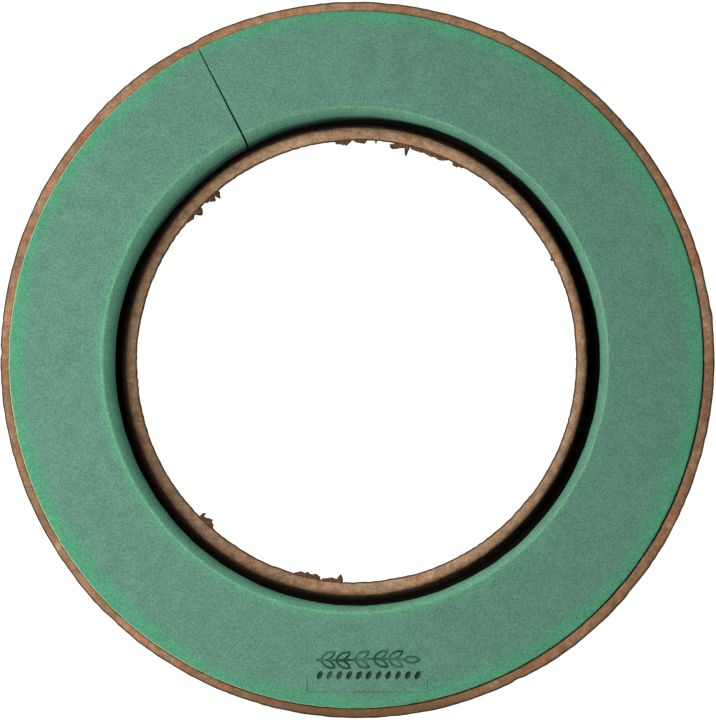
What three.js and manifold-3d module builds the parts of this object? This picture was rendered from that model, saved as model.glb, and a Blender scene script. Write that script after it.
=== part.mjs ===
// A floral foam wreath ring: a C-shaped ring of foam, glued into a moulded pulp tray.
// Millimetres, +Z up, the tray's underside at z = 0 and the ring's axis on Z.
import * as THREE from "three";
import { mergeVertices } from "three/addons/utils/BufferGeometryUtils.js";
import Module from "manifold-3d";

// Overall size
const OUTER_RADIUS = 150; // edge of the tray's outer lip
const HOLE_RADIUS = 93.3; // edge of the tray's inner lip, round the open middle
const OVERALL_HEIGHT = 45; // underside of the tray to the top of the foam

// Pulp tray: a round channel whose outer wall is twice as tall as its inner wall
const OUTER_RIM_HEIGHT = 44;
const INNER_RIM_HEIGHT = 22;
const FLOOR_THICKNESS = 3;
const LIP_THICKNESS = 2.4;
const WALL_THICKNESS = 2.5; // measured level, across a wall
const OUTER_WALL_DRAFT = THREE.MathUtils.degToRad(4); // the walls lean away from the foam
const INNER_WALL_DRAFT = THREE.MathUtils.degToRad(9);
const OUTER_MOUTH_RADIUS = 146.4; // channel face of the outer wall, at its rim
const INNER_MOUTH_RADIUS = 98.3; // channel face of the inner wall, at its rim
const OUTER_RIM_ROUND = 0.8; // where the outer lip turns down into the channel
const INNER_RIM_ROUND = 2.6;
const FLOOR_ROUND = 1; // inside corners of the channel
const BASE_ROUND = 3.2; // outside corners of the underside

// Foam ring: narrower at the bottom, so that it goes down between the leaning walls
const FOAM_OUTER_RADIUS = 145.8; // at the top
const FOAM_OUTER_TAPER = OUTER_WALL_DRAFT;
const FOAM_INNER_RADIUS = 102.4; // at the foot of the bevel, past the watering groove
const FOAM_INNER_TAPER = THREE.MathUtils.degToRad(3.5);
const BEVEL_WIDTH = 3.7; // along the top of the inner edge, where the foam curves over
const BEVEL_SLOPE = THREE.MathUtils.degToRad(36);
const BEVEL_ROUND = 7;
const FOAM_EDGE_ROUND = 0.8; // top of the outer edge
const KERF_WIDTH = 0.7; // the one saw cut that makes the ring a C
const KERF_ANGLE = THREE.MathUtils.degToRad(117.2);

// Hot-melt pads that hold the foam down
const GLUE_COUNT = 8;
const GLUE_RADIUS = 7;
const GLUE_THICKNESS = 1;
const GLUE_CIRCLE_RADIUS = 122;

const RING_STEPS = 96;
const GLUE_STEPS = 24;
const ROUND_STEPS = 4;

const wasm = await Module();
wasm.setup();

const foamMaterial = new THREE.MeshStandardMaterial({ color: "#62907b", roughness: 0.95, metalness: 0 });
const pulpMaterial = new THREE.MeshStandardMaterial({ color: "#8f6d4e", roughness: 0.92, metalness: 0 });
const glueMaterial = new THREE.MeshStandardMaterial({ color: "#d9cfae", roughness: 0.4, metalness: 0 });

const part = new THREE.Group();
part.add(pulpTray(), foamRing(), ...glueDots());

// The tray's section runs up the inner wall, over its lip, along underneath and back
// over the outer lip into the channel, where x is the radius and y the height.
function pulpTray() {
  const outerLean = Math.tan(OUTER_WALL_DRAFT);
  const innerLean = Math.tan(INNER_WALL_DRAFT);
  const outerWallAt = (height) => OUTER_MOUTH_RADIUS - outerLean * (OUTER_RIM_HEIGHT - height);
  const innerWallAt = (height) => INNER_MOUTH_RADIUS + innerLean * (INNER_RIM_HEIGHT - height);
  const outerBackAt = (height) => outerWallAt(height) + WALL_THICKNESS;
  const innerBackAt = (height) => innerWallAt(height) - WALL_THICKNESS;
  const outerLipUnder = OUTER_RIM_HEIGHT - LIP_THICKNESS;
  const innerLipUnder = INNER_RIM_HEIGHT - LIP_THICKNESS;
  const section = roundedSection([
    [innerWallAt(FLOOR_THICKNESS), FLOOR_THICKNESS, FLOOR_ROUND],
    [INNER_MOUTH_RADIUS, INNER_RIM_HEIGHT, INNER_RIM_ROUND],
    [HOLE_RADIUS, INNER_RIM_HEIGHT, 0],
    [HOLE_RADIUS, innerLipUnder, 0],
    [innerBackAt(innerLipUnder), innerLipUnder, 0],
    [innerBackAt(0), 0, BASE_ROUND],
    [outerBackAt(0), 0, BASE_ROUND],
    [outerBackAt(outerLipUnder), outerLipUnder, 0],
    [OUTER_RADIUS, outerLipUnder, 0],
    [OUTER_RADIUS, OUTER_RIM_HEIGHT, 0],
    [OUTER_MOUTH_RADIUS, OUTER_RIM_HEIGHT, OUTER_RIM_ROUND],
    [outerWallAt(FLOOR_THICKNESS), FLOOR_THICKNESS, FLOOR_ROUND],
  ]);
  return named("pulp_tray", turned(section, RING_STEPS), pulpMaterial);
}

// The foam stands on the glue pads, and one saw cut runs through it from the inside out.
function foamRing() {
  const bottom = FLOOR_THICKNESS + GLUE_THICKNESS;
  const bevelFoot = OVERALL_HEIGHT - BEVEL_WIDTH * Math.tan(BEVEL_SLOPE);
  const section = roundedSection([
    [FOAM_INNER_RADIUS + Math.tan(FOAM_INNER_TAPER) * (bevelFoot - bottom), bottom, 0],
    [FOAM_OUTER_RADIUS - Math.tan(FOAM_OUTER_TAPER) * (OVERALL_HEIGHT - bottom), bottom, 0],
    [FOAM_OUTER_RADIUS, OVERALL_HEIGHT, FOAM_EDGE_ROUND],
    [FOAM_INNER_RADIUS + BEVEL_WIDTH, OVERALL_HEIGHT, 0],
    [FOAM_INNER_RADIUS, bevelFoot, BEVEL_ROUND],
  ]);
  const kerf = new THREE.BoxGeometry(OUTER_RADIUS, KERF_WIDTH, 2 * OVERALL_HEIGHT);
  kerf.translate((OUTER_RADIUS + HOLE_RADIUS) / 2, 0, OVERALL_HEIGHT / 2);
  kerf.rotateZ(KERF_ANGLE);
  return named("foam_ring", cut(turned(section, RING_STEPS), kerf), foamMaterial);
}

function glueDots() {
  const dots = [];
  for (let i = 0; i < GLUE_COUNT; i++) {
    const pad = new THREE.CylinderGeometry(GLUE_RADIUS, GLUE_RADIUS, GLUE_THICKNESS, GLUE_STEPS);
    pad.rotateX(Math.PI / 2);
    const dot = named(`glue_dot_${String(i + 1).padStart(2, "0")}`, pad, glueMaterial);
    const angle = ((i + 0.5) * 2 * Math.PI) / GLUE_COUNT;
    dot.position.set(
      GLUE_CIRCLE_RADIUS * Math.cos(angle),
      GLUE_CIRCLE_RADIUS * Math.sin(angle),
      FLOOR_THICKNESS + GLUE_THICKNESS / 2,
    );
    dots.push(dot);
  }
  return dots;
}

// Closed outline through [x, y, round] corners; a corner with a round gets an arc.
function roundedSection(corners) {
  const points = [];
  corners.forEach(([x, y, round], i) => {
    const corner = new THREE.Vector2(x, y);
    if (round === 0) {
      points.push(corner);
      return;
    }
    const before = toward(corner, corners.at(i - 1));
    const after = toward(corner, corners[(i + 1) % corners.length]);
    const halfAngle = Math.acos(before.dot(after)) / 2;
    const reach = round / Math.tan(halfAngle);
    const middle = before.clone().add(after).normalize().multiplyScalar(round / Math.sin(halfAngle)).add(corner);
    const start = before.multiplyScalar(reach).add(corner).sub(middle);
    const end = after.multiplyScalar(reach).add(corner).sub(middle);
    const sweep = Math.atan2(start.cross(end), start.dot(end));
    for (let step = 0; step <= ROUND_STEPS; step++) {
      points.push(start.clone().rotateAround(new THREE.Vector2(), (sweep * step) / ROUND_STEPS).add(middle));
    }
  });
  points.push(points[0].clone());
  return points;
}

function toward(corner, [x, y]) {
  return new THREE.Vector2(x, y).sub(corner).normalize();
}

// Turns a closed section about Z.
function turned(section, steps) {
  return new THREE.LatheGeometry(section, steps).rotateX(Math.PI / 2);
}

function solid(geometry) {
  const bare = geometry.clone();
  bare.deleteAttribute("normal");
  bare.deleteAttribute("uv");
  const merged = mergeVertices(bare);
  return new wasm.Manifold(
    new wasm.Mesh({
      numProp: 3,
      vertProperties: merged.attributes.position.array,
      triVerts: new Uint32Array(merged.index.array),
    }),
  );
}

function cut(geometry, tool) {
  const mesh = solid(geometry).subtract(solid(tool)).getMesh();
  const result = new THREE.BufferGeometry();
  result.setAttribute("position", new THREE.BufferAttribute(new Float32Array(mesh.vertProperties), 3));
  result.setIndex(new THREE.BufferAttribute(new Uint32Array(mesh.triVerts), 1));
  result.computeVertexNormals();
  return result;
}

function named(name, geometry, material) {
  const mesh = new THREE.Mesh(geometry, material);
  mesh.name = name;
  return mesh;
}

export default part;
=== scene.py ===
"""A floral foam wreath ring: green foam, cut as a C and glued into a moulded pulp tray."""
import math

import bmesh
import bpy
import numpy as np
from mathutils import Matrix, Vector, noise


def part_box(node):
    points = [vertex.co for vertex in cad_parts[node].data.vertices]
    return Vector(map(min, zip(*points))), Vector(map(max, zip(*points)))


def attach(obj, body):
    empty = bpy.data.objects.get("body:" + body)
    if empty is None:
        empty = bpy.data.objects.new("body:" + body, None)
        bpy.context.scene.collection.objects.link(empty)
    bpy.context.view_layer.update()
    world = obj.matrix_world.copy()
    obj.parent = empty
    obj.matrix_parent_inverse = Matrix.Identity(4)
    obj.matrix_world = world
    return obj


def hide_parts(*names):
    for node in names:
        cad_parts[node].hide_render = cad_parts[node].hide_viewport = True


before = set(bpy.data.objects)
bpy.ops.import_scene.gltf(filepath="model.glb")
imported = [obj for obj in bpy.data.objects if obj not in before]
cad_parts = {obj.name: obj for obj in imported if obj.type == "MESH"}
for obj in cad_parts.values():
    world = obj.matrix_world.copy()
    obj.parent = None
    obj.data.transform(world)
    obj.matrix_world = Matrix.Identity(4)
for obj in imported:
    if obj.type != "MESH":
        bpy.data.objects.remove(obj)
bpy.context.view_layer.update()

MM = 0.001
FULL_TURN = 2 * math.pi
rng = np.random.default_rng(30)


# ---------------------------------------------------------------- sizes, from the frame
def radii_of(node):
    """Distance from the ring's axis of every vertex of a CAD node."""
    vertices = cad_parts[node].data.vertices
    places = np.array([vertex.co for vertex in vertices])
    return np.hypot(places[:, 0], places[:, 1])


FOAM_BOTTOM, FOAM_TOP = (corner[2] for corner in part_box("foam_ring"))
FOAM_OUTER = radii_of("foam_ring").max()
FOAM_INNER = radii_of("foam_ring").min()
TRAY_OUTER = radii_of("pulp_tray").max()
TRAY_HOLE = radii_of("pulp_tray").min()
OUTER_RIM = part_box("pulp_tray")[1][2]

# Tray, as in the CAD. Rims are heights, and mouths are the radii of the channel at its rims.
INNER_RIM = OUTER_RIM / 2
FLOOR = 3 * MM
WALL = 2.5 * MM
LIP = 2.4 * MM
OUTER_DRAFT = math.tan(math.radians(4))
INNER_DRAFT = math.tan(math.radians(9))
OUTER_MOUTH = 146.4 * MM
INNER_MOUTH = 98.3 * MM

# Foam, as in the CAD, but for a deeper bevel and a saw cut that opens towards the hole
BEVEL_WIDTH = 3.7 * MM
BEVEL_DEPTH = 7 * MM
CREASE = FOAM_INNER + BEVEL_WIDTH  # radius at which the top of the foam turns into the bevel
INNER_TAPER = math.tan(math.radians(3.5))
KERF_WIDTH = 0.45 * MM  # at the outer edge
KERF_OPENING = 0.35 * MM  # how much wider it is at the inner edge
KERF_ANGLE = math.radians(117.2)

# Nothing here is quite round or quite centred. Each line round the ring is off its circle by
# (growth, shift in x, shift in y, cos and sin parts of an oval), in millimetres.
FOAM_EDGE_OFF = (0.1, -0.55, 0.10, -0.38, 0.10)
CREASE_OFF = (0.0, -0.92, -0.17, 0.0, 0.0)
BEVEL_FOOT_OFF = (-0.2, 0.20, -0.54, -0.45, 0.20)
SHOULDER_OFF = (0.45, 0.1, -0.05, -0.74, 0.48)
HOLE_OFF = (0.0, 0.0, 0.0, -0.27, 0.30)
TRIM_OFF = (0.05, 0.0, 0.0, -0.25, -0.22)
MOUTH_OFF = (-0.4, -0.25, -0.07, -0.38, 0.10)


# ---------------------------------------------------------------- curves and noise
def smooth(value, low, high):
    """0 below low, 1 above high, and a smooth rise between them."""
    t = np.clip((value - low) / (high - low), 0, 1)
    return t * t * (3 - 2 * t)


def bump_at(angle, middle, half_width):
    """1 at the middle angle, in degrees, falling smoothly to 0 half_width away."""
    off = np.abs((np.degrees(angle) - middle + 180) % 360 - 180)
    return 1 - smooth(off, 0, half_width)


def wobble(angle, waves, size):
    """A smooth closed wander round the ring, about size to either side."""
    total = np.zeros_like(angle)
    for wave in waves:
        total += np.cos(wave * angle + rng.uniform(0, FULL_TURN)) * rng.uniform(0.5, 1)
    return size * total / math.sqrt(len(waves))


def kinks(angle, count, size):
    """Straight runs between random corners round the ring, as a worn trimming die leaves."""
    corners = np.sort(rng.uniform(0, FULL_TURN, count))
    heights = rng.uniform(-size, size, count)
    return np.interp(angle % FULL_TURN, corners, heights, period=FULL_TURN)


def out_of_round(angle, off):
    """What one of the ..._OFF lines adds to its radius."""
    waves = (1, np.cos(angle), np.sin(angle), np.cos(2 * angle), np.sin(2 * angle))
    return sum(amount * MM * wave for amount, wave in zip(off, waves))


# ---------------------------------------------------------------- meshes
def new_object(name, vertices, faces, materials, smooth_below=None):
    mesh = bpy.data.meshes.new(name)
    mesh.from_pydata([tuple(vertex) for vertex in vertices], [], faces)
    for material in materials:
        mesh.materials.append(material)
    piece = bpy.data.objects.new(name, mesh)
    bpy.context.scene.collection.objects.link(piece)
    face_outwards(mesh)
    if smooth_below is not None:
        mesh.shade_smooth()
        mesh.set_sharp_from_angle(angle=math.radians(smooth_below))
    return piece


def face_outwards(mesh):
    work = bmesh.new()
    work.from_mesh(mesh)
    bmesh.ops.recalc_face_normals(work, faces=work.faces)
    work.to_mesh(mesh)
    work.free()


def skin(sections, closed):
    """Quads over an array of sections, [column, row, xyz]; each section is a closed loop."""
    columns, rows = sections.shape[:2]
    faces = []
    for column in range(columns if closed else columns - 1):
        ahead = (column + 1) % columns
        for row in range(rows):
            above = (row + 1) % rows
            faces.append((column * rows + row, ahead * rows + row,
                          ahead * rows + above, column * rows + above))
    if not closed:
        faces.append(tuple(range(rows)))
        faces.append(tuple(range((columns - 1) * rows, columns * rows)))
    return sections.reshape(-1, 3), faces


def arc(centre, radius, start, end, steps):
    """Points on an arc, with its angles in degrees."""
    turn = np.radians(np.linspace(start, end, steps))
    return [(centre[0] + radius * math.cos(a), centre[1] + radius * math.sin(a)) for a in turn]


def resampled(outline, spacing):
    """A closed outline with extra points, so that none are further apart than spacing."""
    points = []
    for here, there in zip(outline, outline[1:] + outline[:1]):
        steps = max(1, math.ceil(math.dist(here, there) / spacing))
        for step in range(steps):
            share = step / steps
            points.append((here[0] + (there[0] - here[0]) * share,
                           here[1] + (there[1] - here[1]) * share))
    return np.array(points)


# ---------------------------------------------------------------- node graphs
class Graph:
    """A material's node tree, with short calls for the nodes used here."""

    def __init__(self, name):
        self.material = bpy.data.materials.new(name)
        self.material.use_nodes = True
        self.tree = self.material.node_tree
        self.shader = self.tree.nodes["Principled BSDF"]
        coordinates = self.tree.nodes.new("ShaderNodeTexCoord")
        self.place = coordinates.outputs["Object"]
        self.normal = coordinates.outputs["Normal"]

    def link(self, value, socket):
        if isinstance(value, bpy.types.NodeSocket):
            self.tree.links.new(value, socket)
        else:
            socket.default_value = value

    def math(self, operation, *values):
        node = self.tree.nodes.new("ShaderNodeMath")
        node.operation = operation
        for value, socket in zip(values, node.inputs):
            self.link(value, socket)
        return node.outputs[0]

    def vector(self, operation, *values):
        node = self.tree.nodes.new("ShaderNodeVectorMath")
        node.operation = operation
        for value, socket in zip(values, node.inputs):
            self.link(value, socket)
        return node.outputs["Value" if operation in ("LENGTH", "DOT_PRODUCT") else "Vector"]

    def axes(self, vector):
        node = self.tree.nodes.new("ShaderNodeSeparateXYZ")
        self.link(vector, node.inputs[0])
        return node.outputs

    def noise(self, size, detail=2.0, roughness=0.5, place=None):
        """Noise from 0 to 1 whose lumps are about size across, in metres."""
        node = self.tree.nodes.new("ShaderNodeTexNoise")
        self.link(place if place is not None else self.place, node.inputs["Vector"])
        node.inputs["Scale"].default_value = 1 / size
        node.inputs["Detail"].default_value = detail
        node.inputs["Roughness"].default_value = roughness
        return node.outputs["Fac"]

    def cells(self, size, place=None):
        """Distance to the nearest of scattered points about size apart."""
        node = self.tree.nodes.new("ShaderNodeTexVoronoi")
        self.link(place if place is not None else self.place, node.inputs["Vector"])
        node.inputs["Scale"].default_value = 1 / size
        return node.outputs["Distance"]

    def centred(self, noise, spread):
        """Noise from 0 to 1, with this spread about 0."""
        return self.math("MULTIPLY", self.math("SUBTRACT", noise, 0.5), spread)

    def towards(self, x, y):
        """How far each point lies in the direction (x, y)."""
        return self.vector("DOT_PRODUCT", self.place, (x, y, 0))

    def ramp(self, value, low, high, to_low=0.0, to_high=1.0):
        node = self.tree.nodes.new("ShaderNodeMapRange")
        node.interpolation_type = "SMOOTHSTEP"
        for number, socket in zip((value, low, high, to_low, to_high), node.inputs):
            self.link(number, socket)
        return node.outputs[0]

    def mix(self, share, first, second, blend="MIX"):
        node = self.tree.nodes.new("ShaderNodeMix")
        node.data_type = "RGBA"
        node.blend_type = blend
        self.link(share, node.inputs["Factor"])
        for colour, name in ((first, "A"), (second, "B")):
            socket = next(s for s in node.inputs if s.name == name and s.type == "RGBA")
            self.link((*colour, 1) if isinstance(colour, tuple) else colour, socket)
        return next(s for s in node.outputs if s.type == "RGBA")

    def scaled(self, colour, factor):
        """The colour with each channel times factor."""
        grey = self.tree.nodes.new("ShaderNodeCombineXYZ")
        for socket in grey.inputs:
            self.link(factor, socket)
        return self.vector("MULTIPLY", colour, grey.outputs[0])

    def bump(self, height, distance, strength=1.0, under=None):
        node = self.tree.nodes.new("ShaderNodeBump")
        node.inputs["Strength"].default_value = strength
        node.inputs["Distance"].default_value = distance
        self.link(height, node.inputs["Height"])
        if under is not None:
            self.link(under, node.inputs["Normal"])
        return node.outputs[0]

    def distance_from_axis(self, shift=(0.0, 0.0), oval=0.0):
        centred = self.vector("SUBTRACT", self.place, (*shift, 0))
        return self.vector("LENGTH", self.vector("MULTIPLY", centred, (1 + oval, 1 - oval, 0)))

    def finish(self, colour, roughness, normal, specular):
        self.link(colour, self.shader.inputs["Base Color"])
        self.shader.inputs["Roughness"].default_value = roughness
        self.shader.inputs["Specular IOR Level"].default_value = specular
        if normal is not None:
            self.link(normal, self.shader.inputs["Normal"])
        return self.material


# ---------------------------------------------------------------- materials
FOAM_FACE = (0.091, 0.202, 0.149)  # the sawn top
FOAM_SKIN = (0.065, 0.250, 0.140)  # the brighter moulded skin along the outer edge
FOAM_STRIP = (0.088, 0.240, 0.152)  # the top beside the crease
FOAM_CREASE = (0.110, 0.345, 0.195)
FOAM_BEVEL = (0.104, 0.248, 0.152)
# painted shade: the bevel's foot and the foam wall below it, darker going down into the channel
FOAM_BEVEL_FOOT_SHADE = (0.062, 0.202, 0.134)
FOAM_UPPER_WALL_SHADE = (0.022, 0.082, 0.060)
FOAM_DEEP_WALL_SHADE = (0.003, 0.014, 0.011)
# painted shade in the recesses of the pressed motif
FOAM_PRESSED_SHADE = (0.008, 0.026, 0.017)
FOAM_FLECKS = (0.175, 0.205, 0.170)
# painted highlights along the inner crest and the outer edge
INNER_CREST_HIGHLIGHT = (0.150, 0.345, 0.215)
OUTER_EDGE_HIGHLIGHT = (0.400, 0.490, 0.300)
SKIN_RADIUS = 139.2 * MM  # where the moulded skin begins
SKIN_SHIFT = (-0.7 * MM, 0.5 * MM)
SKIN_OVAL = 0.007  # its border is this much narrower in x, and wider in y

PULP_OUTER = (0.250, 0.138, 0.073)
PULP_INNER = (0.318, 0.195, 0.110)
PULP_RED = (0.310, 0.124, 0.060)
PULP_TAN = (0.285, 0.203, 0.114)
PULP_SPECKS = (0.090, 0.050, 0.028)
PULP_STAIN = (0.110, 0.054, 0.022)
# painted shade down the channel's walls and on its floor
PULP_CHANNEL_SHADE = (0.050, 0.040, 0.022)
PULP_FLOOR_SHADE = (0.013, 0.012, 0.008)
# painted shade along the rounded trim edges
PULP_EDGE_SHADE = (0.040, 0.025, 0.016)
TORN_DARK = (0.040, 0.018, 0.009)
TORN_PALE = (0.215, 0.110, 0.052)
TORN_TIP = (0.028, 0.014, 0.008)

GLUE_DARK = (0.62, 0.55, 0.38)
GLUE_PALE = (0.74, 0.69, 0.52)


def foam_material():
    g = Graph("floral_foam")
    height = g.axes(g.place)[2]
    radius = g.distance_from_axis()

    # the skin's border is stippled, and wanders by a millimetre or two
    wander = g.centred(g.noise(34 * MM, 1.0), 7 * MM)
    stipple = g.centred(g.noise(0.9 * MM, 3.0, 0.7), 7 * MM)
    border = g.math("ADD", g.distance_from_axis(SKIN_SHIFT, SKIN_OVAL), g.math("ADD", wander, stipple))
    sharp = g.ramp(border, SKIN_RADIUS - 1.4 * MM, SKIN_RADIUS + 1.4 * MM, 0.0, 0.65)
    gradual = g.ramp(border, SKIN_RADIUS, SKIN_RADIUS + 6 * MM, 0.0, 0.35)
    colour = g.mix(g.math("ADD", sharp, gradual), FOAM_FACE, FOAM_SKIN)

    # a greener strip of the top along the crease, with a pale line at the crease itself
    on_strip = g.ramp(g.towards(-0.72, -0.69), -60 * MM, 80 * MM, 0.15, 1.0)
    crease_shift = (CREASE_OFF[1] * MM, CREASE_OFF[2] * MM)
    from_crease = g.math("SUBTRACT", g.distance_from_axis(crease_shift), CREASE)
    strip = g.ramp(g.math("ADD", from_crease, stipple), 4.5 * MM, 1.5 * MM)
    colour = g.mix(g.math("MULTIPLY", strip, on_strip), colour, FOAM_STRIP)
    pale_line = g.math("MULTIPLY", g.ramp(from_crease, 0.85 * MM, 0.35 * MM), on_strip)
    colour = g.mix(g.math("MULTIPLY", pale_line, 0.75), colour, FOAM_CREASE)

    # the bevel and the wall below it, with painted shade: darker towards the bevel's foot and down the wall
    # into the channel
    below_top = g.math("SUBTRACT", FOAM_TOP, height)
    near_hole = g.math("LESS_THAN", radius, CREASE + 3 * MM)
    southwest = g.towards(-0.93, -0.37)
    bevel = g.mix(g.ramp(below_top, 0.8 * MM, 5 * MM), FOAM_BEVEL, FOAM_BEVEL_FOOT_SHADE)
    # painted shade: the bevel is darker on the southwest side, which faces away from the lamp
    bevel = g.mix(g.ramp(southwest, 10 * MM, 95 * MM), bevel, (0.75, 0.84, 0.87), "MULTIPLY")
    # painted light: the bevel is lighter towards the south
    bevel = g.scaled(bevel, g.ramp(g.towards(0, -1), 50 * MM, 100 * MM, 1.0, 1.2))
    for start, end, deeper in ((0.1 * MM, 0.45 * MM, bevel), (5 * MM, 8 * MM, FOAM_UPPER_WALL_SHADE),
                               (8 * MM, 13 * MM, FOAM_DEEP_WALL_SHADE)):
        colour = g.mix(g.math("MULTIPLY", g.ramp(below_top, start, end), near_hole), colour, deeper)

    # both edges carry a painted highlight, where the light catches them: the outer one most to the
    # southwest, the inner one least there
    crest = g.math("MULTIPLY", g.ramp(below_top, 0.02 * MM, 0.15 * MM),
                   g.ramp(below_top, 0.8 * MM, 0.35 * MM))
    inner_highlight = g.math("MULTIPLY", g.math("MULTIPLY", crest, near_hole),
                        g.ramp(southwest, 90 * MM, 0.0, 0.25, 0.6))
    colour = g.mix(inner_highlight, colour, INNER_CREST_HIGHLIGHT)
    outer_edge = g.math("MULTIPLY", g.math("GREATER_THAN", radius, FOAM_OUTER - 1.6 * MM),
                        g.ramp(below_top, 0.03 * MM, 0.2 * MM))
    outer_highlight = g.math("MULTIPLY", outer_edge, g.ramp(southwest, -80 * MM, 130 * MM, 0.0, 0.85))
    colour = g.mix(outer_highlight, colour, OUTER_EDGE_HIGHLIGHT)

    # painted shade: the bottom of the pressed motif is darker, as shade falls in its recesses
    on_face = g.math("MULTIPLY", g.math("GREATER_THAN", radius, CREASE + 5 * MM),
                     g.math("LESS_THAN", radius, FOAM_OUTER - 2 * MM))
    pressed = g.math("MULTIPLY", g.ramp(below_top, 0.14 * MM, 0.9 * MM, 0.0, 0.9), on_face)
    colour = g.mix(pressed, colour, FOAM_PRESSED_SHADE)

    # fine cells, cloudy patches and a few grey flecks
    cells = g.ramp(g.noise(0.8 * MM, 4.0, 0.75), 0.3, 0.7)
    cells = g.mix(cells, (0.64, 0.74, 0.71), (1.36, 1.26, 1.29))
    colour = g.vector("MULTIPLY", colour, cells)
    colour = g.scaled(colour, g.ramp(g.noise(6 * MM, 2.0), 0.3, 0.7, 0.95, 1.05))
    flecks = g.ramp(g.noise(1.5 * MM, 2.0, 0.8), 0.60, 0.72, 0.0, 0.3)
    colour = g.mix(flecks, colour, FOAM_FLECKS)

    cell_bump = g.bump(g.noise(0.42 * MM, 3.0, 0.7), 0.16 * MM, 0.7)
    normal = g.bump(g.noise(2.6 * MM, 2.0), 0.12 * MM, 0.5, cell_bump)
    return g.finish(colour, 0.96, normal, 0.12)


def pulp_material(name, is_back):
    """Moulded pulp: its back carries the weave of the forming screen, and its face painted shade down in
    the channel.
    """
    g = Graph(name)
    radius = g.distance_from_axis()
    inner_share = g.ramp(radius, 104 * MM, 99 * MM)
    colour = g.mix(inner_share, PULP_OUTER, PULP_INNER)

    # red and tan blotches, fainter on the inner rim, then short fibres and specks
    blotches = g.noise(9 * MM, 3.0, 0.6)
    strength = g.ramp(inner_share, 0.0, 1.0, 0.8, 0.4)
    red = g.math("MULTIPLY", g.ramp(blotches, 0.52, 0.66), strength)
    tan = g.math("MULTIPLY", g.ramp(blotches, 0.45, 0.30), strength)
    colour = g.mix(red, colour, PULP_RED)
    colour = g.mix(tan, colour, PULP_TAN)
    fibres = g.noise(1.0 * MM, 4.0, 0.75)
    colour = g.scaled(colour, g.ramp(fibres, 0.3, 0.7, 0.72, 1.25))
    colour = g.scaled(colour, g.ramp(g.noise(3.6 * MM, 2.0, 0.6), 0.3, 0.7, 0.78, 1.2))
    colour = g.scaled(colour, g.ramp(g.noise(38 * MM, 2.0), 0.35, 0.65, 0.86, 1.16))
    specks = g.ramp(g.cells(1.9 * MM), 0.16, 0.06, 0.0, 0.5)
    colour = g.mix(specks, colour, PULP_SPECKS)

    # the outer rim is stained on two sides, and the inner one carries a painted shadow of the foam towards
    # the southwest
    for direction, share in (((0.03, -1), 0.85), ((0.71, 0.71), 0.4)):
        stain = g.ramp(g.towards(*direction), 132 * MM, 150 * MM, 0.0, share)
        colour = g.mix(stain, colour, PULP_STAIN)
    inner_rim_shadow = g.ramp(g.towards(-0.90, -0.44), 20 * MM, 92 * MM, 0.0, 0.22)
    colour = g.scaled(colour, g.math("SUBTRACT", 1.0, g.math("MULTIPLY", inner_rim_shadow, inner_share)))

    # painted shade darkens the channel, most of all its floor
    if not is_back:
        height = g.axes(g.place)[2]
        channel_shade = g.ramp(height, INNER_RIM - 1 * MM, INNER_RIM - 16 * MM, 0.0, 0.8)
        colour = g.mix(channel_shade, colour, PULP_CHANNEL_SHADE)
        colour = g.mix(g.ramp(height, FLOOR + 3 * MM, FLOOR + 0.6 * MM), colour, PULP_FLOOR_SHADE)

    # painted shade: the rounded trim edges are darker where they turn over
    turned_over = g.ramp(g.axes(g.normal)[2], 0.97, 0.85)
    at_trim = g.math("ADD", g.math("GREATER_THAN", radius, TRAY_OUTER - 1.2 * MM),
                     g.math("LESS_THAN", radius, TRAY_HOLE + 1.2 * MM))
    edge_shade = g.math("MULTIPLY", turned_over, at_trim)
    colour = g.mix(g.math("MULTIPLY", edge_shade, 0.85), colour, PULP_EDGE_SHADE)

    lumps = g.bump(g.noise(3.2 * MM, 3.0, 0.6), 0.8 * MM, 0.7)
    normal = g.bump(fibres, 0.18 * MM, 0.7, lumps)
    if is_back:
        threads = 900  # round the ring, and one a millimetre across it
        x, y, height = g.axes(g.place)
        around = g.math("SINE", g.math("MULTIPLY", g.math("ARCTAN2", y, x), threads))
        across = g.math("SINE", g.math("MULTIPLY", g.math("ADD", radius, height), FULL_TURN / MM))
        normal = g.bump(g.math("MULTIPLY", around, across), 0.10 * MM, 0.5, normal)
    return g.finish(colour, 0.93, normal, 0.15)


def torn_material():
    g = Graph("torn_pulp")
    fibres = g.noise(0.7 * MM, 4.0, 0.8)
    # the scraps are dark, partly from denser torn fibre and partly painted shade, as they hang below the
    # lip's top, and darkest at their tips over the hole
    colour = g.mix(g.ramp(fibres, 0.35, 0.65), TORN_DARK, TORN_PALE)
    over_hole = g.ramp(g.distance_from_axis(), TRAY_HOLE - 0.6 * MM, TRAY_HOLE - 3 * MM, 0.1, 0.8)
    colour = g.mix(over_hole, colour, TORN_TIP)
    normal = g.bump(fibres, 0.35 * MM, 1.0)
    return g.finish(colour, 0.95, normal, 0.12)


def glue_material():
    g = Graph("hot_melt_glue")
    haze = g.noise(2.5 * MM, 2.0)
    colour = g.mix(g.ramp(haze, 0.3, 0.7), GLUE_DARK, GLUE_PALE)
    normal = g.bump(g.noise(1.2 * MM, 1.0), 0.08 * MM, 0.4)
    g.shader.inputs["Subsurface Weight"].default_value = 0.25
    return g.finish(colour, 0.32, normal, 0.5)


# ---------------------------------------------------------------- the pressed motif
MOTIF_LEFT = -16.7 * MM
MOTIF_RIGHT = 26.1 * MM
SPRIG_HEIGHT = -125.8 * MM
SEEDS_HEIGHT = -132.3 * MM
CORNER_LEFT = -20.9 * MM
CORNER_RIGHT = 29.4 * MM
CORNER_BOTTOM = -139.4 * MM
PRESS_AREA = (-23.5 * MM, 32 * MM, -141.5 * MM, -121 * MM)


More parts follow.
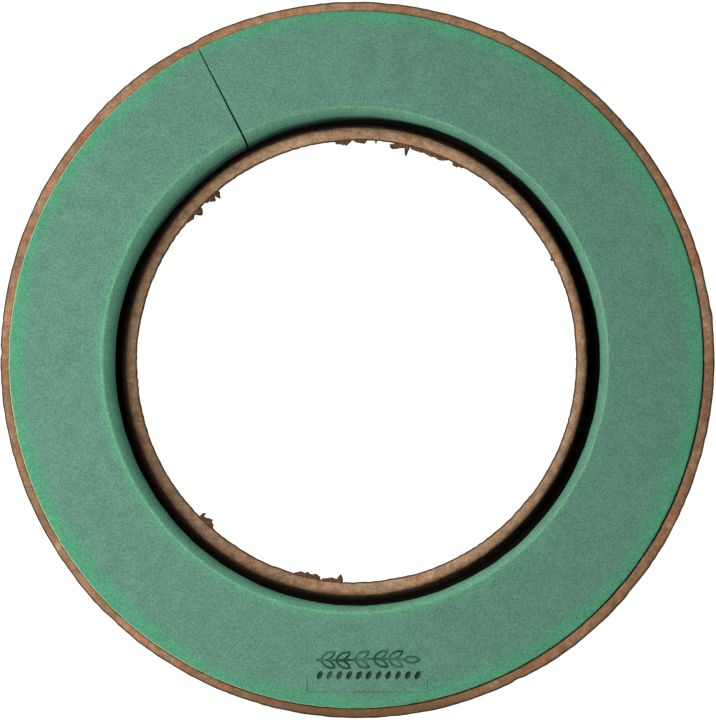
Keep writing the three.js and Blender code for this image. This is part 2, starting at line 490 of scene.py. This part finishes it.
def leaf_outline(base, direction, length, width):
    """Line segments round a pointed leaf."""
    along = np.array([math.cos(direction), math.sin(direction)])
    across = np.array([-along[1], along[0]])
    steps = np.linspace(0, 1, 8)
    segments = []
    for side in (width / 2, -width / 2):
        edge = [base + along * length * t + across * side * math.sin(math.pi * t) ** 0.8 for t in steps]
        segments += list(zip(edge, edge[1:]))
    return segments


def sprig_segments():
    """A stem with pairs of pointed leaves, lying along +X."""
    pairs = 5
    leaf_length = 6.6 * MM
    leaf_width = 2.6 * MM
    spread = math.radians(29)
    stem_end = MOTIF_RIGHT - leaf_length
    stem = [np.array([x, SPRIG_HEIGHT + 0.3 * MM * math.sin(x / (6 * MM))])
            for x in np.linspace(MOTIF_LEFT, stem_end, 24)]
    segments = list(zip(stem, stem[1:]))
    for pair in range(pairs):
        base = stem[1 + round(pair * (len(stem) - 6) / (pairs - 1))]
        segments += leaf_outline(base, spread, leaf_length, leaf_width)
        segments += leaf_outline(base, -spread, leaf_length, leaf_width)
    segments += leaf_outline(stem[-1], 0, leaf_length, leaf_width)
    return segments


def corner_segments():
    """A long thin line under the motif, turned up at both ends."""
    left = np.array([CORNER_LEFT, CORNER_BOTTOM])
    right = np.array([CORNER_RIGHT, CORNER_BOTTOM])
    return [(left, right), (left, left + (0, 6.7 * MM)), (right, right + (0, 5.0 * MM))]


def distance_to_segments(points, segments):
    """Distance from each point to the nearest of the segments."""
    nearest = np.full(len(points), np.inf)
    for start, end in segments:
        along = end - start
        share = np.clip((points - start) @ along / max(along @ along, 1e-12), 0, 1)
        nearest = np.minimum(nearest, np.linalg.norm(points - start - share[:, None] * along, axis=1))
    return nearest


def distance_to_seeds(points):
    """A row of slanting seeds; the distance is negative inside one."""
    count = 11
    half_length = 1.75 * MM
    half_width = 0.95 * MM
    slant = math.radians(62)
    turn = np.array([[math.cos(slant), -math.sin(slant)], [math.sin(slant), math.cos(slant)]])
    nearest = np.full(len(points), np.inf)
    for x in np.linspace(MOTIF_LEFT + half_width, MOTIF_RIGHT - half_width, count):
        local = (points - (x, SEEDS_HEIGHT)) @ turn / (half_length, half_width)
        nearest = np.minimum(nearest, (np.linalg.norm(local, axis=1) - 1) * half_width)
    return nearest


def pressed_depth(points):
    """How deep the motif is pressed into the foam at each point of its top."""
    def inside(distance, half_width):
        soft = 0.13 * MM
        return 1 - smooth(distance, half_width - soft, half_width + soft)

    sprig = inside(distance_to_segments(points, sprig_segments()), 0.38 * MM)
    corners = inside(distance_to_segments(points, corner_segments()), 0.3 * MM)
    seeds = inside(distance_to_seeds(points), 0)
    uneven = np.array([noise.noise(Vector((x, y, 0)) * 140) for x, y in points]) * 0.5 + 0.75
    return np.maximum.reduce([sprig * 0.9 * MM, corners * 0.4 * MM, seeds * 1.1 * MM]) * uneven


# ---------------------------------------------------------------- foam
def foam_ring():
    columns = 540
    turn = np.linspace(0, 1, columns + 1)
    angle = KERF_ANGLE + turn * FULL_TURN
    slump = bump_at(angle, 101, 30)  # the bevel is rounder and deeper here
    spread = bump_at(angle, 133, 34)  # and here it runs further in

    outer = FOAM_OUTER + out_of_round(angle, FOAM_EDGE_OFF)
    outer += wobble(angle, range(40, 160, 7), 0.05 * MM) + wobble(angle, range(2, 9), 0.12 * MM)
    crease = CREASE + out_of_round(angle, CREASE_OFF) + wobble(angle, range(3, 40, 4), 0.12 * MM)
    foot = FOAM_INNER + out_of_round(angle, BEVEL_FOOT_OFF) - 0.8 * MM * spread
    foot += wobble(angle, range(3, 60, 5), 0.10 * MM)
    depth = BEVEL_DEPTH * (1 + 0.4 * slump + 0.2 * spread)
    foot_height = FOAM_TOP - depth
    edge_round = 0.7 * MM

    run_in = 1.0 * MM * slump + 1.5 * MM * spread  # how far the wall comes in below the foot
    outer_bottom = outer - OUTER_DRAFT * (FOAM_TOP - FOAM_BOTTOM)
    inner_bottom = foot + INNER_TAPER * (foot_height - FOAM_BOTTOM) - run_in

    rows = []

    def row(radius, height):
        rows.append((radius + 0 * angle, height + 0 * angle))

    # along the underside, up the outer side, over its edge and in across the top
    for share in np.linspace(0, 1, 8):
        row(inner_bottom + (outer_bottom - inner_bottom) * share, FOAM_BOTTOM)
    for share in np.linspace(0.1, 0.98, 10):
        row(outer_bottom + (outer - outer_bottom) * share, FOAM_BOTTOM + (FOAM_TOP - FOAM_BOTTOM) * share)
    for turned in np.radians((15, 35, 55, 75, 90)):
        row(outer - edge_round * (1 - math.cos(turned)), FOAM_TOP - edge_round * (1 - math.sin(turned)))
    for share in np.linspace(0.03, 0.985, 27):
        row(outer - edge_round + (crease - outer + edge_round) * share, FOAM_TOP)
    # down the bevel, which curves over from a definite crease to upright, and down the wall
    tilt = np.radians(np.linspace(45, 90, 13))
    across, down = (np.concatenate([[0], np.cumsum(steps)]) for steps in (np.cos(tilt), np.sin(tilt)))
    for in_share, down_share in zip(across / across[-1], down / down[-1]):
        row(crease + (foot - crease) * in_share, FOAM_TOP - depth * down_share)
    for share in (0.02, 0.05, 0.1, 0.18, 0.3, 0.5, 0.75):
        below = (foot_height - FOAM_BOTTOM) * share
        row(foot + INNER_TAPER * below - run_in * (1 - np.exp(-below / (4 * MM))), foot_height - below)

    sections = np.zeros((columns + 1, len(rows), 3))
    for index, (radius, height) in enumerate(rows):
        width = KERF_WIDTH + KERF_OPENING * (FOAM_OUTER - radius) / (FOAM_OUTER - FOAM_INNER)
        half_gap = np.arcsin(width / 2 / radius)
        place = KERF_ANGLE + half_gap + turn * (FULL_TURN - 2 * half_gap)
        sections[:, index, 0] = radius * np.cos(place)
        sections[:, index, 1] = radius * np.sin(place)
        sections[:, index, 2] = height

    vertices, faces = skin(sections, closed=False)
    foam = new_object("foam", vertices, faces, [foam_material()])
    press_motif(foam.data)
    roughen(foam.data, [(7 * MM, 0.07 * MM), (1.6 * MM, 0.03 * MM)])
    foam.data.shade_smooth()
    foam.data.set_sharp_from_angle(angle=math.radians(38))
    return foam


def press_motif(mesh):
    """Splits the faces under the motif finely, and presses it into them."""
    low_x, high_x, low_y, high_y = PRESS_AREA
    top_height = FOAM_TOP - 0.01 * MM
    work = bmesh.new()
    work.from_mesh(mesh)
    cells = []
    for face in work.faces:
        middle = face.calc_center_median()
        inside = low_x < middle.x < high_x and low_y < middle.y < high_y
        if inside and middle.z > top_height:
            cells.append(face)
    edges = list({edge for face in cells for edge in face.edges})
    bmesh.ops.subdivide_edges(work, edges=edges, cuts=7, use_grid_fill=True)
    top = [vertex for vertex in work.verts if vertex.co.z > top_height
           and low_x < vertex.co.x < high_x and low_y < vertex.co.y < high_y]
    depth = pressed_depth(np.array([vertex.co.xy for vertex in top]))
    for vertex, deep in zip(top, depth):
        vertex.co.z -= deep
    work.to_mesh(mesh)
    work.free()


def roughen(mesh, layers):
    """Moves each vertex along its normal by layers of noise, (lump size, height); not the base."""
    moved = []
    for vertex in mesh.vertices:
        height = sum(noise.noise(vertex.co / size) * amount for size, amount in layers)
        moved.append(vertex.co + vertex.normal * height * smooth(vertex.co.z, 0, 2.5 * MM))
    for vertex, place in zip(mesh.vertices, moved):
        vertex.co = place


# ---------------------------------------------------------------- tray
# Where the outer trim steps out or in: middle and half width in degrees, and how far
TRIM_STEPS = [(66, 1.2, 0.5 * MM), (118, 2.4, -0.5 * MM), (41, 1.5, -0.35 * MM), (7, 1.8, 0.35 * MM),
              (296.5, 1.5, -0.35 * MM), (179, 1.0, -0.35 * MM)]

# Torn scraps left on the edge of the hole: angle in degrees, half length, reach, and how far
# the tip leans anticlockwise
TEARS = [
    (93.2, 3.4 * MM, 2.1 * MM, 0.6 * MM),
    (88.8, 2.6 * MM, 1.3 * MM, 0.4 * MM),
    (77.4, 3.0 * MM, 2.2 * MM, 3.6 * MM),
    (76.6, 1.1 * MM, 4.2 * MM, 0.3 * MM),
    (73.0, 4.6 * MM, 1.0 * MM, 0.2 * MM),
    (67.6, 4.2 * MM, 1.1 * MM, 2.2 * MM),
    (62.6, 2.6 * MM, 0.9 * MM, 0.3 * MM),
    (85.0, 0.5 * MM, 1.0 * MM, 0.0),
    (139.4, 3.6 * MM, 1.8 * MM, -0.5 * MM),
    (137.6, 2.2 * MM, 2.9 * MM, -1.6 * MM),
    (132.6, 2.8 * MM, 2.6 * MM, -0.6 * MM),
    (130.4, 1.3 * MM, 3.3 * MM, -1.0 * MM),
    (227.4, 3.6 * MM, 2.4 * MM, -0.5 * MM),
    (225.4, 1.0 * MM, 3.2 * MM, -0.4 * MM),
    (257.0, 5.6 * MM, 1.7 * MM, 0.4 * MM),
    (263.2, 3.8 * MM, 1.3 * MM, 0.2 * MM),
    (265.4, 1.5 * MM, 2.8 * MM, 0.3 * MM),
    (27.5, 0.9 * MM, 0.8 * MM, 0.0),
    (0.5, 0.8 * MM, 0.6 * MM, 0.0),
]


def tray_outline():
    """The tray's section, and the indices between which it is the tray's back, its unseen side."""
    def outer_wall(height):
        return OUTER_MOUTH - OUTER_DRAFT * (OUTER_RIM - height)

    def inner_wall(height):
        return INNER_MOUTH + INNER_DRAFT * (INNER_RIM - height)

    top_edge = 1.2 * MM
    edge = 0.9 * MM
    shoulder = 3.1 * MM
    base = 3.2 * MM
    corner = 1.2 * MM  # between the channel's floor and its walls
    front = [(inner_wall(FLOOR) + corner, FLOOR), (inner_wall(FLOOR) + 0.3 * MM, FLOOR + 0.35 * MM),
             (inner_wall(FLOOR + corner), FLOOR + corner)]
    front += arc((INNER_MOUTH - shoulder, INNER_RIM - shoulder), shoulder, 0, 90, 7)
    front += arc((TRAY_HOLE + top_edge, INNER_RIM - top_edge), top_edge, 90, 180, 6)
    back = arc((TRAY_HOLE + edge, INNER_RIM - LIP + edge), edge, 180, 270, 4)
    back += [(inner_wall(INNER_RIM - LIP) - WALL, INNER_RIM - LIP)]
    back += arc((inner_wall(0) - WALL + base, base), base, 184, 270, 7)
    back += arc((outer_wall(0) + WALL - base, base), base, 270, 356, 7)
    back += [(outer_wall(OUTER_RIM - LIP) + WALL, OUTER_RIM - LIP)]
    back += arc((TRAY_OUTER - edge, OUTER_RIM - LIP + edge), edge, 270, 360, 4)
    rest = arc((TRAY_OUTER - top_edge, OUTER_RIM - top_edge), top_edge, 0, 90, 6)
    rest += arc((OUTER_MOUTH + edge, OUTER_RIM - edge), edge, 90, 180, 5)
    rest += [(outer_wall(FLOOR + corner), FLOOR + corner),
             (outer_wall(FLOOR) - 0.3 * MM, FLOOR + 0.35 * MM), (outer_wall(FLOOR) - corner, FLOOR)]
    spacing = 3 * MM
    outline = resampled(front + back + rest, spacing)
    starts = np.linalg.norm(outline - back[0], axis=1).argmin()
    ends = np.linalg.norm(outline - rest[0], axis=1).argmin()
    return outline, starts, ends


def pulp_tray():
    columns = 840
    angle = np.linspace(0, FULL_TURN, columns, endpoint=False)
    outline, back_starts, back_ends = tray_outline()
    trim_outer = kinks(angle, 46, 0.2 * MM) + wobble(angle, range(60, 220, 9), 0.07 * MM)
    trim_outer += out_of_round(angle, TRIM_OFF)
    trim_inner = kinks(angle, 52, 0.2 * MM) + wobble(angle, range(50, 200, 9), 0.09 * MM)
    trim_inner += out_of_round(angle, HOLE_OFF)
    shoulder_out = out_of_round(angle, SHOULDER_OFF)
    mouth_out = out_of_round(angle, MOUTH_OFF) - 0.35 * MM * bump_at(angle, 50, 55)
    for middle, half_width, step in TRIM_STEPS:
        trim_outer += bump_at(angle, middle, half_width) * step

    # each line round the tray moves only what lies near it in the section
    reach = 2.2 * MM
    sections = np.zeros((columns, len(outline), 3))
    for index, (radius, height) in enumerate(outline):
        on_outer_lip = smooth(radius, TRAY_OUTER - reach, TRAY_OUTER) * (height > OUTER_RIM - 2 * LIP)
        on_inner_lip = smooth(-radius, -TRAY_HOLE - reach, -TRAY_HOLE) * (height > INNER_RIM - 2 * LIP)
        on_shoulder = (1 - smooth(radius, 105 * MM, 115 * MM)) * (1 - on_inner_lip)
        on_mouth = smooth(radius, 130 * MM, 140 * MM) * (1 - on_outer_lip)
        far = radius + trim_outer * on_outer_lip + trim_inner * on_inner_lip
        far += shoulder_out * on_shoulder + mouth_out * on_mouth
        sections[:, index, 0] = far * np.cos(angle)
        sections[:, index, 1] = far * np.sin(angle)
        sections[:, index, 2] = height

    vertices, faces = skin(sections, closed=True)
    materials = [pulp_material("moulded_pulp", False), pulp_material("moulded_pulp_back", True)]
    tray = new_object("tray", vertices, faces, materials)
    for polygon in tray.data.polygons:
        polygon.material_index = int(back_starts <= polygon.index % len(outline) < back_ends)
    roughen(tray.data, [(8 * MM, 0.16 * MM), (2.2 * MM, 0.09 * MM)])
    tray.data.shade_smooth()
    tray.data.set_sharp_from_angle(angle=math.radians(50))
    return tray


def torn_edge():
    """Ragged scraps of pulp that the trimming die left on the inner lip."""
    vertices, faces = [], []
    for middle, *measures in TEARS:
        scrap_vertices, scrap_faces = scrap(math.radians(middle), *measures)
        faces += [tuple(index + len(vertices) for index in face) for face in scrap_faces]
        vertices += scrap_vertices
    return new_object("torn_edge", vertices, faces, [torn_material()])


def scrap(middle, half_length, reach, lean):
    """One scrap, from a root inside the lip to a ragged tip over the hole."""
    step = 0.2 * MM
    columns = 2 * round(half_length / step)
    rows = 9
    seed = rng.uniform(0, 100)
    root = TRAY_HOLE + 1.1 * MM
    along = np.linspace(-half_length, half_length, columns)
    vertices = []
    for side in (1, -1):
        for x in along:
            envelope = max(0, 1 - (x / half_length) ** 2) ** 0.6
            ragged = noise.noise(Vector((x / (2.4 * MM), seed, 0)))
            ragged += 0.3 * noise.noise(Vector((x / (0.6 * MM), seed, 9)))
            tip = reach * envelope * np.clip(0.8 + ragged, 0.15, 1.3)
            for t in np.linspace(0, 1, rows):
                radius = root - (root - TRAY_HOLE + tip) * t
                lump = noise.fractal(Vector((x, radius, seed)) / (1.1 * MM), 1.0, 2.0, 3)
                thick = LIP * 0.5 * (1 - 0.72 * t) * envelope
                height = INNER_RIM - LIP * 0.55 - 0.3 * MM * t + side * thick + 0.5 * MM * lump * t
                angle = middle + (x + lean * t ** 2 + 0.25 * MM * lump) / TRAY_HOLE
                vertices.append((radius * math.cos(angle), radius * math.sin(angle), height))
    faces = []
    layer = columns * rows

    def grid_index(side, column, row):
        return side * layer + column * rows + row

    for column in range(columns - 1):
        for row in range(rows - 1):
            for side in (0, 1):
                faces.append((grid_index(side, column, row), grid_index(side, column + 1, row),
                              grid_index(side, column + 1, row + 1), grid_index(side, column, row + 1)))
        for row in (0, rows - 1):
            faces.append((grid_index(0, column, row), grid_index(0, column + 1, row),
                          grid_index(1, column + 1, row), grid_index(1, column, row)))
    for row in range(rows - 1):
        for column in (0, columns - 1):
            faces.append((grid_index(0, column, row), grid_index(0, column, row + 1),
                          grid_index(1, column, row + 1), grid_index(1, column, row)))
    return vertices, faces


# ---------------------------------------------------------------- glue
def glue_blob(node, material):
    """A squashed pad of hot-melt glue in the place of the CAD's plain disc."""
    low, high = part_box(node)
    centre = (Vector(low) + Vector(high)) / 2
    radius = (high[0] - low[0]) / 2
    thick = high[2] - low[2]
    columns = 40
    angle = np.linspace(0, FULL_TURN, columns, endpoint=False)
    edge = radius * (0.9 + wobble(angle, range(2, 6), 0.05))
    vertices = [(centre.x, centre.y, low[2])]
    profile = [(0.6, 0), (0.9, 0), (1.0, 0.25), (1.03, 0.5), (1.0, 0.75), (0.9, 1), (0.6, 1)]
    for share, rise in profile:
        for turned, far in zip(angle, edge * share):
            vertices.append((centre.x + far * math.cos(turned), centre.y + far * math.sin(turned),
                             low[2] + thick * rise))
    vertices.append((centre.x, centre.y, high[2]))
    last = len(vertices) - 1
    faces = []
    for column in range(columns):
        ahead = (column + 1) % columns
        faces.append((0, 1 + ahead, 1 + column))
        top = 1 + (len(profile) - 1) * columns
        faces.append((last, top + column, top + ahead))
        for ring in range(len(profile) - 1):
            start = 1 + ring * columns
            faces.append((start + column, start + ahead, start + columns + ahead, start + columns + column))
    return new_object(node.replace("dot", "blob"), vertices, faces, [material], smooth_below=60)


# ---------------------------------------------------------------- build
foam = foam_ring()
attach(foam, "root")
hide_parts("foam_ring")

tray = pulp_tray()
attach(tray, "root")
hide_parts("pulp_tray")

scraps = torn_edge()
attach(scraps, "root")

glue = glue_material()
for node in sorted(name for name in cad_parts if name.startswith("glue_dot")):
    blob = glue_blob(node, glue)
    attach(blob, "root")
    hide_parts(node)


# ---------------------------------------------------------------- stage, light and camera
FLOOR_GLOW = 1.0
LAMP_SIZE = 0.54
LAMP_PLACE = Vector((-0.345, -0.01, 0.70))
LAMP_POWER = 8.7
FILL_STRENGTH = 0.114
CAMERA_HEIGHT = 2.0  # above the outer rim
FIELD = 301.5 * MM  # height of the picture at the outer rim


def white_floor():
    """A glowing white floor, which cannot be seen from underneath."""
    g = Graph("white_floor")
    colour = g.mix(g.noise(0.4, 1.0), (0.30, 0.30, 0.30), (0.32, 0.32, 0.32))
    g.shader.inputs["Emission Color"].default_value = (1, 1, 1, 1)
    g.shader.inputs["Emission Strength"].default_value = FLOOR_GLOW
    material = g.finish(colour, 0.9, None, 0.2)
    nodes, links = g.tree.nodes, g.tree.links
    mix = nodes.new("ShaderNodeMixShader")
    links.new(nodes.new("ShaderNodeNewGeometry").outputs["Backfacing"], mix.inputs[0])
    links.new(g.shader.outputs[0], mix.inputs[1])
    links.new(nodes.new("ShaderNodeBsdfTransparent").outputs[0], mix.inputs[2])
    links.new(mix.outputs[0], nodes["Material Output"].inputs["Surface"])
    half = 4.0
    corners = [(-half, -half, 0), (half, -half, 0), (half, half, 0), (-half, half, 0)]
    floor = new_object("floor", corners, [(0, 1, 2, 3)], [material])
    floor.location.z = -0.05 * MM


def soft_box():
    """One square soft box, up and to the left; it is what makes the right-hand bevel bright."""
    lamp = bpy.data.lights.new("soft_box", "AREA")
    lamp.shape = "SQUARE"
    lamp.size = LAMP_SIZE
    lamp.energy = LAMP_POWER
    box = bpy.data.objects.new("soft_box", lamp)
    bpy.context.scene.collection.objects.link(box)
    box.location = LAMP_PLACE
    box.rotation_euler = LAMP_PLACE.to_track_quat("Z", "Y").to_euler()
    box.visible_camera = False


def room():
    """Even light from all round, which the camera sees as a white backdrop."""
    world = bpy.data.worlds.new("room")
    bpy.context.scene.world = world
    world.use_nodes = True
    nodes, links = world.node_tree.nodes, world.node_tree.links
    fill = nodes["Background"]
    fill.inputs["Color"].default_value = (1, 1, 1, 1)
    fill.inputs["Strength"].default_value = FILL_STRENGTH
    backdrop = nodes.new("ShaderNodeBackground")
    backdrop.inputs["Color"].default_value = (1, 1, 1, 1)
    seen = nodes.new("ShaderNodeLightPath").outputs["Is Camera Ray"]
    mix = nodes.new("ShaderNodeMixShader")
    links.new(seen, mix.inputs[0])
    links.new(fill.outputs[0], mix.inputs[1])
    links.new(backdrop.outputs[0], mix.inputs[2])
    links.new(mix.outputs[0], nodes["World Output"].inputs["Surface"])


def camera():
    """Nearly straight above, a little to the lower left of the ring's axis."""
    lens = bpy.data.cameras.new("camera")
    lens.sensor_width = 36
    lens.lens = lens.sensor_width * CAMERA_HEIGHT / FIELD
    lens.clip_end = 20
    eye = bpy.data.objects.new("camera", lens)
    bpy.context.scene.collection.objects.link(eye)
    target = Vector((0.14 * MM, -0.43 * MM, OUTER_RIM))
    place = Vector((-35.4 * MM, -69.2 * MM, OUTER_RIM + CAMERA_HEIGHT))
    back = (place - target).normalized()
    right = Vector((0, 1, 0)).cross(back).normalized()
    turn = Matrix((right, back.cross(right), back)).transposed()
    eye.matrix_world = Matrix.Translation(place) @ turn.to_4x4()
    bpy.context.scene.camera = eye


white_floor()
soft_box()
room()
camera()
bpy.context.scene.view_settings.view_transform = "Standard"
